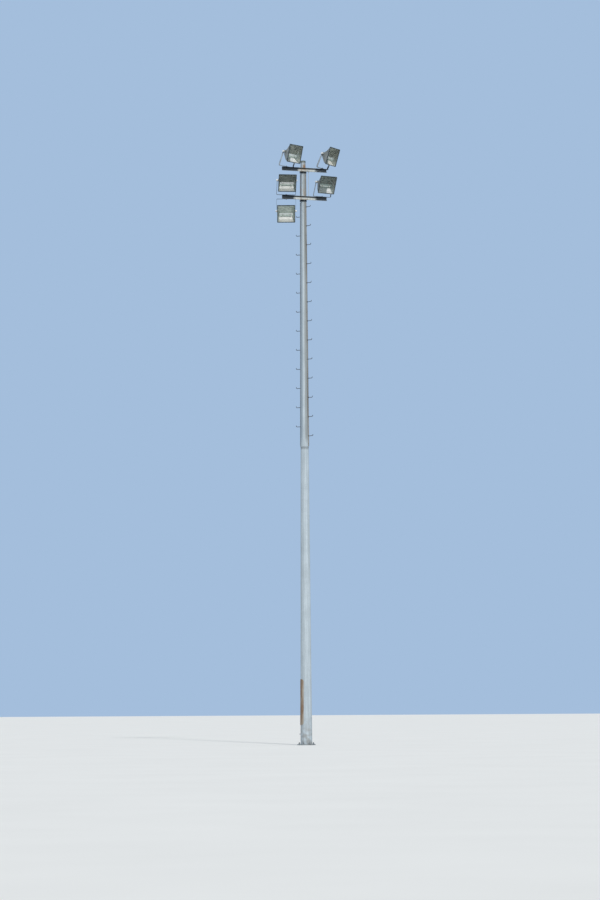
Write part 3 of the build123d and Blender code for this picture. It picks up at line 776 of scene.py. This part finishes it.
rim = -0.206                   # rear plane of the front frame, where the housing starts
waist = -0.110                 # where the housing's sides turn in
back = 0.030                   # back wall
top_line = ((rim, 0.252), (waist, 0.112), (back, 0.0235))
under_line = ((rim, -0.296), (waist, -0.256), (back, -0.1115))
knob_start = 0.3023
knob_end = 0.3283
knob_flat = 0.0257             # knob's middle to the flutes round it
knob_flutes = 10
flute_size = (knob_end - knob_start - 0.006, 0.0022, 0.0050)
rib_height = 0.009
rib_pitch = 0.055
rib_half = 0.0022
rib_spread = 1.6               # half width of a rib's foot against that of its crest
rib_sunk = 0.002
rib_numbers = range(-3, 4)     # counted from the middle of the housing
rib_run = ((0.06, -0.001), (0.16, rib_height), (0.80, rib_height), (0.94, -0.001))    # share, rise
cover_screw_across = 0.2105
cover_screw_levels = (-0.020, -0.068)
cover_screw = [(0.0052, 0.0), (0.0052, 0.0022), (0.0040, 0.0034), (0.0022, 0.0036)]
clip_across = 0.17
clip_plate = (0.034, 0.040, 0.0030)
clip_lever = (0.022, 0.042, 0.0022)
clip_plate_place = (0.0, 0.050, 0.001)       # across, back from the rim, out from the side
clip_lever_place = (0.0, 0.046, 0.0062)
clip_hinge_place = (-0.014, 0.064, 0.0042)
clip_bail_out = 0.0038
clip_hinge = [(0.0026, 0.0), (0.0030, 0.0006), (0.0030, 0.0274), (0.0026, 0.0280)]
clip_bail = [
    (-0.011, 0.052), (-0.013, 0.046), (-0.013, 0.010), (-0.010, 0.005),
    (0.010, 0.005), (0.013, 0.010), (0.013, 0.046), (0.011, 0.052),
]
wire_radius = 0.0014
inlet_end = (0.120, -0.020, -0.193)
gland_body = [(0.0150, -0.003), (0.0158, -0.001), (0.0158, 0.007), (0.0146, 0.009)]
gland_dome = [
    (0.0132, 0.007), (0.0138, 0.013), (0.0126, 0.018),
    (0.0098, 0.022), (0.0072, 0.023), (0.0068, 0.019),
]
for lamp in lamps:
    head = head_frame(lamp)
    ribs = Batch(head)
    for line, up in ((top_line, 1.0), (under_line, -1.0)):
        front, rear = (Vector((0.0, *point)) for point in line[1:])
        run = rear - front
        square = Vector((0.0, -run.z, run.y)).normalized() * up
        for number in rib_numbers:
            start = front + Vector((rib_pitch * number, 0.0, 0.0))
            half = Vector((rib_half, 0.0, 0.0))
            flared = half * rib_spread
            rings = []
            for share, rise in rib_run:
                crest = start + run * share + square * rise
                foot = start + run * share - square * rib_sunk
                rings.append([foot - flared, foot + flared, crest + half, crest - half])
            ribs.skin(rings)
    for hand in (-1.0, 1.0):
        grip = Matrix.Translation((hand * (knob_start + knob_end) / 2, 0.0, 0.0))
        for number in range(knob_flutes):
            flute = grip @ Matrix.Rotation(tau * (number + 0.5) / knob_flutes, 4, "X")
            ribs.block(flute @ Matrix.Translation((0.0, knob_flat, 0.0)), flute_size, 0.0007)
        for level in cover_screw_levels:
            corner = Matrix.Translation((hand * cover_screw_across, back, level))
            ribs.turned(corner @ Matrix.Rotation(-pi / 2, 4, "X"), cover_screw, 16)
    ribs.finished(lamp + "_housing_ribs", cast_aluminium(lamp), lamp + "_head", "housing_aluminium")

    clips = Batch(head)
    for line, up in ((top_line, 1.0), (under_line, -1.0)):
        front, rear = (Vector((0.0, *point)) for point in line[:2])
        run = (rear - front).normalized()
        square = Vector((0.0, -run.z, run.y)) * up
        for across in (-clip_across, clip_across):
            place = Matrix((Vector((1, 0, 0)), run, square)).transposed().to_4x4()
            place.translation = front + Vector((across, 0.0, 0.0))
            clips.block(place @ Matrix.Translation(clip_plate_place), clip_plate, 0.0008)
            clips.block(place @ Matrix.Translation(clip_lever_place), clip_lever, 0.0008)
            hinge = place @ Matrix.Translation(clip_hinge_place)
            clips.turned(hinge @ Matrix.Rotation(pi / 2, 4, "Y"), clip_hinge, 14)
            bail = [place @ Vector((x, y, clip_bail_out)) for x, y in clip_bail]
            clips.drawn(bail, square, wire_radius)
    clips.finished(lamp + "_frame_clips", clip_steel, lamp + "_head", "frame_aluminium")

    gland = Batch(head)
    inlet = Matrix.Translation(inlet_end) @ Matrix.Rotation(pi, 4, "X")
    gland.turned(inlet, gland_body, 6)
    gland.turned(inlet, gland_dome, 28)
    gland.finished(lamp + "_cable_gland", gland_black, lamp + "_head", "housing_aluminium")


# Front frames: cast aluminium in dark grey paint, on a soft gasket, each with eight small screws
# that hold its toughened glass. The glass is clear, with dust that gathers along its lower edge.
frame_paint = Finish("frame_paint", 0.1, 0.5)
worn = frame_paint.ease(frame_paint.mottle(24.0, 5.0), 0.5, 0.7)
frame_paint.colour(frame_paint.mix(worn, tone(56, 66, 68), tone(92, 98, 98)))
frame_paint.rough(0.42 + worn * 0.25)
frame_paint.relief(frame_paint.mottle(200.0, 3.0), 0.0003)
frame_paint.onto(*(lamp + "_front_frame" for lamp in lamps))
gasket = Finish("frame_gasket", 0.0, 0.8)
gasket.colour(gasket.mix(gasket.mottle(80.0), tone(30, 32, 33), tone(52, 52, 50)))
gasket.relief(gasket.mottle(250.0), 0.0003)

frame_front = -0.230
face_middle = -0.022
frame_line = 0.269             # face's middle to the middle of the frame's bar
screw_line = 0.15              # face's middle to a screw, along the bar
frame_screw = [
    (0.0050, -0.001), (0.0050, 0.0006), (0.0042, 0.0014), (0.0020, 0.0016), (0.0018, 0.0006),
]
shell_half = 0.274
shell_cut = 0.024              # how far the rim's corners are cut off
gasket_radius = 0.0026
for lamp in lamps:
    head = head_frame(lamp)
    screws = Batch(head)
    spots = [
        (across, up) for up in (-frame_line, frame_line) for across in (-screw_line, screw_line)
    ]
    spots += [(up, across) for across, up in spots]
    for across, up in spots:
        facing = Matrix.Translation((across, frame_front, face_middle + up))
        screws.turned(facing @ Matrix.Rotation(pi / 2, 4, "X"), frame_screw, 18)
    screws.finished(lamp + "_frame_screws", clip_steel, lamp + "_head", "frame_aluminium")

    seal = Batch(head)
    corners = [
        (shell_half, shell_half - shell_cut), (shell_half - shell_cut, shell_half),
        (shell_cut - shell_half, shell_half), (-shell_half, shell_half - shell_cut),
    ]
    corners += [(-x, -z) for x, z in corners]
    loop = [Vector((x, rim + 0.001, face_middle + z)) for x, z in corners]
    seal.drawn(loop, Vector((0, 1, 0)), gasket_radius, 8, 0.0, True)
    seal.finished(lamp + "_frame_gasket", gasket, lamp + "_head", "frame_aluminium")

    pane = Finish("front_glass_" + lamp, 0.0, 0.05)
    upward = head_places(pane, lamp)[1]
    dust = pane.ease(pane.mottle(14.0, 6.0), 0.35, 0.7)
    low_dust = (1.0 - pane.ease(upward, -0.30, -0.20)) * (0.4 + pane.mottle(8.0, 4.0) * 0.8)
    pane.colour(pane.mix(dust, tone(190, 204, 200), tone(206, 210, 202)))
    pane.feed(pane.shader.inputs["Alpha"], 0.06 + dust * 0.05 + low_dust * 0.10)
    pane.rough(0.04 + dust * 0.10)
    pane.onto(lamp + "_glass")


# Reflectors and discharge tubes: hammered bright aluminium sheet folded round the lamp, riveted at
# the back, clouded with age. Its tones are painted light, set for each lamp: painted reflection on
# the upper and right walls and in the gap under the band, a painted glint fanning up the low wall
# with painted shade beside it, and a painted bright band across the back. The quartz tube sits in
# metal ends between two pale posts, with a lead at each end.
# Each lamp's reflector tones are painted light: painted reflection, glint and shade.
painted_sheet_light = {                # upper walls, their clouds, right wall, low wall, rear gap and band
    "upper_left": (
        tone(150, 154, 146), tone(98, 106, 98), tone(176, 180, 172), tone(252, 252, 250),
        tone(172, 192, 182), tone(250, 255, 254),
    ),
    "upper_right": (
        tone(128, 134, 122), tone(94, 100, 90), tone(156, 156, 144), tone(252, 248, 238),
        tone(172, 192, 182), tone(250, 255, 254),
    ),
    "lower_left": (
        tone(96, 104, 98), tone(78, 86, 80), tone(96, 104, 98), tone(190, 192, 188),
        tone(172, 192, 182), tone(255, 255, 255),
    ),
    "lower_right": (
        tone(96, 110, 108), tone(60, 74, 74), tone(156, 164, 158), tone(250, 250, 250),
        tone(112, 132, 130), tone(150, 168, 164),
    ),
    "hung_left": (
        tone(196, 206, 198), tone(166, 178, 172), tone(166, 178, 166), tone(216, 215, 210),
        tone(184, 204, 194), tone(250, 255, 254),
    ),
}
painted_glint_fans = {                 # middle of the painted glint on the low wall, and how fast it widens
    "upper_left": (0.070, 1.00), "upper_right": (0.120, 1.00), "lower_left": (0.0, 9.0),
    "lower_right": (0.145, 0.65), "hung_left": (0.0, 9.0),
}
glint_top = -0.075
band_painted_white = {                 # how far the back's band is made matt, as painted light
    "upper_left": 0.0, "upper_right": 0.0, "lower_left": 0.5, "lower_right": 0.0, "hung_left": 0.1,
}
back_top = -0.043              # upper and lower edge of the reflector's back wall
back_foot = -0.151
band_foot = -0.118
side_edge = 0.205
mirror_back = -0.0465
rivet_across = 0.175
rivet_inset = 0.012
rivet_dome = [(0.0050, -0.001), (0.0046, 0.0012), (0.0030, 0.0024), (0.0012, 0.0028)]
tube_line = -0.083
tube_level = -0.097
tube_end_start = 0.1155
tube_end = [(0.0134, 0.0), (0.0142, 0.001), (0.0142, 0.019), (0.0134, 0.020)]
tube_lead = [
    (0.150, -0.083, -0.108), (0.158, -0.080, -0.116),
    (0.160, -0.066, -0.122), (0.160, -0.046, -0.124),
]
for lamp in lamps:
    head = head_frame(lamp)
    mirror = Finish("mirror_sheet_" + lamp, 0.6, 0.30)
    across, upward = head_places(mirror, lamp)
    hammered = {"Vector": mirror.spot, "Scale": 55.0}
    dimple = mirror.node("ShaderNodeTexVoronoi", {}, hammered, "Distance")
    above = mirror.ease(upward, back_top - 0.008, back_top + 0.004)
    band = mirror.ease(upward, band_foot - 0.005, band_foot + 0.004)
    below = 1.0 - mirror.ease(upward, back_foot - 0.004, back_foot + 0.006)
    aside = mirror.ease(abs(across), side_edge, side_edge + 0.020)
    cloud = mirror.ease(mirror.mottle(11.0, 4.0), 0.38, 0.62)
    pale, dark, side, low, gap_painted_reflection, band_painted_light = painted_sheet_light[lamp]
    right_side = mirror.ease(across, side_edge + 0.010, side_edge + 0.030)
    shade = mirror.mix(band, gap_painted_reflection, band_painted_light)
    glint_middle, glint_spread = painted_glint_fans[lamp]
    # A painted glint fans up the low wall; beside it the low wall gets painted shade.
    glint_edge = (glint_top - upward) * glint_spread - abs(across - glint_middle)
    painted_glint = mirror.ease(glint_edge, 0.0, 0.035)
    clouded_glint = mirror.mix(cloud * 0.12, low, tone(188, 188, 184))
    low_wall_glint_and_shade = mirror.mix(painted_glint, tone(122, 132, 132), clouded_glint)
    shade = mirror.mix(below, shade, low_wall_glint_and_shade)
    shade = mirror.mix(aside * 0.8, shade, tone(150, 162, 156))
    # The upper walls' tones are painted reflection; their clouds are clouding with age.
    shade = mirror.mix(above, shade, mirror.mix(cloud, pale, dark))
    mirror.colour(mirror.mix(right_side * (0.4 + cloud * 0.5), shade, side))
    # The band's painted light: its mirror is partly taken away, so it reads white.
    painted_white_band = band * (1.0 - above) * band_painted_white[lamp]
    mirror.feed(mirror.shader.inputs["Metallic"], 0.95 - below * 0.65 - painted_white_band)
    mirror.rough(0.36 + cloud * 0.08 + below * 0.14)
    mirror.relief(dimple, 0.0005)
    mirror.onto(lamp + "_reflector")

    rivets = Batch(head)
    for hand in (-1.0, 1.0):
        for level in (back_top - rivet_inset, back_foot + rivet_inset):
            facing = Matrix.Translation((hand * rivet_across, mirror_back, level))
            rivets.turned(facing @ Matrix.Rotation(pi / 2, 4, "X"), rivet_dome, 16)
        end = Matrix.Translation((hand * tube_end_start, tube_line, tube_level))
        rivets.turned(end @ Matrix.Rotation(hand * pi / 2, 4, "Y"), tube_end, 28)
        lead = [Vector((hand * x, y, z)) for x, y, z in tube_lead]
        rivets.drawn(lead, Vector((1, 0, 0)), wire_radius)
    rivets.finished(lamp + "_tube_ends_and_rivets", clip_steel, lamp + "_head", "mirror_aluminium")

    quartz = Finish("quartz_tube_" + lamp, 0.0, 0.25)
    across = head_places(quartz, lamp)[0]
    bulb = quartz.ease(abs(across), 0.075, 0.085)
    post = quartz.ease(abs(across), 0.134, 0.136)
    frosted = quartz.mix(quartz.mottle(30.0), tone(236, 242, 240), tone(220, 228, 226))
    quartz.colour(quartz.mix(bulb * (1.0 - post), frosted, tone(206, 210, 200)))
    quartz.rough(0.18 + post * 0.3)
    quartz.onto(lamp + "_lamp_tube")


# Floor and daylight studio: a wide pale floor and a plain pale blue backdrop, one broad key light
# high on the front right like the sun, and an even light from all round. The camera stands low and
# far off.
def seen_plainly(tree):
    """1 for what camera, reflections and glass see, 0 for the light that falls on the object."""
    camera_ray, glossy_ray, glass_ray = (
        tree.node("ShaderNodeLightPath", {}, {}, ray)
        for ray in ("Is Camera Ray", "Is Glossy Ray", "Is Transmission Ray")
    )
    return camera_ray + glossy_ray + glass_ray


bpy.ops.mesh.primitive_plane_add(size=600.0)
floor = bpy.context.object
floor.name = "floor"
floor_paint = Finish("pale_floor", 0.0, 0.9)
floor_paint.shader.inputs["Specular IOR Level"].default_value = 0.1
pale_tone = floor_paint.mix(floor_paint.mottle(0.4), tone(242, 242, 240), tone(234, 234, 232))
floor_paint.colour(floor_paint.mix(seen_plainly(floor_paint), tone(176, 178, 176), pale_tone))
floor_paint.onto("floor")

scene = bpy.context.scene
scene.view_settings.view_transform = "Standard"

key = bpy.data.lights.new("key_light", "SUN")
key.energy = 1.9
key.angle = radians(4.0)
key.color = (1.0, 0.98, 0.95)
key_lamp = bpy.data.objects.new("key_light", key)
key_azimuth = radians(15.0)
key_height = radians(35.0)
towards_key = Vector((
    sin(key_azimuth) * cos(key_height), -cos(key_azimuth) * cos(key_height), sin(key_height)
))
key_lamp.rotation_euler = towards_key.to_track_quat("Z", "Y").to_euler()
scene.collection.objects.link(key_lamp)

world = bpy.data.worlds.new("studio")
scene.world = world
world.use_nodes = True
surround = Tree(world.node_tree)
even_light = {"Color": (0.88, 0.94, 1.0), "Strength": 0.62}
backdrop = {"Color": tone(164, 190, 220), "Strength": 1.0}
studio = surround.node("ShaderNodeMixShader", {}, {
    0: seen_plainly(surround),
    1: surround.node("ShaderNodeBackground", {}, even_light),
    2: surround.node("ShaderNodeBackground", {}, backdrop),
})
surround.feed(world.node_tree.nodes["World Output"].inputs["Surface"], studio)

lens_pixels = 2700.0           # focal length, in the picture's pixels
horizon_below_middle = 257.0
picture_height = 900.0
camera_place = (-0.146, -83.4, 1.166)
camera_data = bpy.data.cameras.new("camera")
camera_data.sensor_fit = "VERTICAL"
camera_data.sensor_height = 24.0
camera_data.lens = camera_data.sensor_height * lens_pixels / picture_height
camera_data.clip_end = 1000.0
camera = bpy.data.objects.new("camera", camera_data)
camera_pitch = atan2(horizon_below_middle, lens_pixels)
camera_roll = radians(-0.33)
camera.matrix_world = (
    Matrix.Translation(camera_place)
    @ Matrix.Rotation(pi / 2 + camera_pitch, 4, "X")
    @ Matrix.Rotation(camera_roll, 4, "Z")
)
scene.collection.objects.link(camera)
scene.camera = camera
